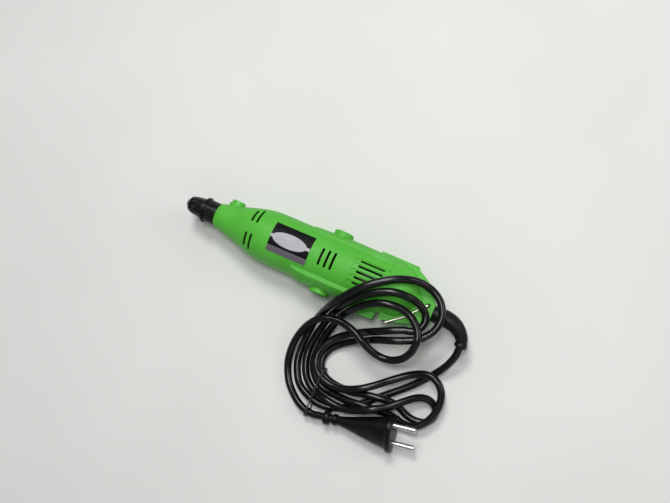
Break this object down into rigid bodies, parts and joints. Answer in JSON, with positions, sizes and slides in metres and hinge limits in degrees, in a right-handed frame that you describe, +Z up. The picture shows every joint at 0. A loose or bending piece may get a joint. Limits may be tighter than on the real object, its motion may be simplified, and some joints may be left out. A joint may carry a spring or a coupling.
{
  "type": "rotary tool",
  "caption": "Corded rotary tool: split barrel housing, collet nose, lock button, speed wheel, wire hanging bail, bend sleeve, looped mains cord and two-pin plug.",
  "frame": {"origin": "under the middle of the housing, on the flat of the belly, at the height it stands on", "axes": "+X along the tool towards the tail where the cord leaves, +Y towards the side with the lock button, +Z up, the label faces up"},
  "size_m": [0.2772, 0.1576, 0.0547],
  "materials": {
    "green_shell": "satin",
    "green_button": "satin",
    "label_black": "gloss",
    "collar_black": "satin",
    "screw_steel": "satin",
    "nut_steel": "satin",
    "ground_steel": "satin",
    "bearing_steel": "bright",
    "wire_steel": "bright",
    "core_steel": "matt",
    "copper": "satin",
    "commutator_copper": "satin",
    "brush_brass": "satin",
    "carbon": "matt",
    "spring_steel": "satin",
    "black_nylon": "matt",
    "board_green": "gloss",
    "capacitor_yellow": "gloss",
    "pot_blue": "satin",
    "sleeve_rubber": "satin",
    "cord_rubber": "satin",
    "tie_black": "satin",
    "plug_black": "satin",
    "pin_metal": "bright"
  },
  "bodies": {
    "housing": {"housing_upper": "green_shell", "housing_lower": "green_shell", "housing_screws": "screw_steel", "label_plate": "label_black", "nose_collar": "collar_black", "nose_cap": "collar_black", "spindle_front_bearing": "bearing_steel", "spindle_rear_bearing": "bearing_steel", "motor_front_bearing": "bearing_steel", "motor_rear_bearing": "bearing_steel", "stator_core": "core_steel", "field_coils": "copper", "brush_holder_right": "brush_brass", "brush_holder_left": "brush_brass", "carbon_brush_right": "carbon", "carbon_brush_left": "carbon", "brush_spring_right": "spring_steel", "brush_spring_left": "spring_steel", "brush_cap_right": "black_nylon", "brush_cap_left": "black_nylon", "lock_spring": "spring_steel", "switch_body": "black_nylon", "control_board": "board_green", "suppression_capacitor": "capacitor_yellow", "speed_potentiometer": "pot_blue", "cord_clamp": "black_nylon", "clamp_screws": "screw_steel", "inner_cord": "cord_rubber", "bend_sleeve": "sleeve_rubber", "cord": "cord_rubber", "cord_tie": "tie_black", "plug_body": "plug_black", "plug_pins": "pin_metal"},
    "rotor": {"collet_nut": "nut_steel", "collet": "nut_steel", "spindle": "ground_steel", "shaft_coupling": "black_nylon", "armature_shaft": "ground_steel", "armature_core": "core_steel", "armature_winding": "copper", "commutator": "commutator_copper", "cooling_fan": "black_nylon"},
    "lock_button": {"lock_button": "green_button"},
    "switch_slider": {"switch_slider": "black_nylon"},
    "speed_dial": {"speed_dial": "black_nylon"},
    "hanging_bail": {"hanging_bail": "wire_steel"}
  },
  "joints": [
    {"name": "rotor_spin", "type": "hinge", "parent": "housing", "child": "rotor", "pos_m": [0, 0, 0.023], "axis": [1, 0, 0], "continuous": true},
    {"name": "lock_press", "type": "slide", "parent": "housing", "child": "lock_button", "axis": [0, -1, 0], "range_m": [0, 0.0025], "stiffness_N_per_m": 400, "springref_m": -0.001},
    {"name": "switch_slide", "type": "slide", "parent": "housing", "child": "switch_slider", "axis": [-1, 0, 0], "range_m": [0, 0.006]},
    {"name": "dial_turn", "type": "hinge", "parent": "housing", "child": "speed_dial", "pos_m": [0.097, 0.008, 0.015], "axis": [0, 1, 0], "range_deg": [0, 270]},
    {"name": "bail_swing", "type": "hinge", "parent": "housing", "child": "hanging_bail", "pos_m": [0.1145, -0.0013, 0.023], "axis": [0, 0, 1], "range_deg": [0, 75]}
  ]
}
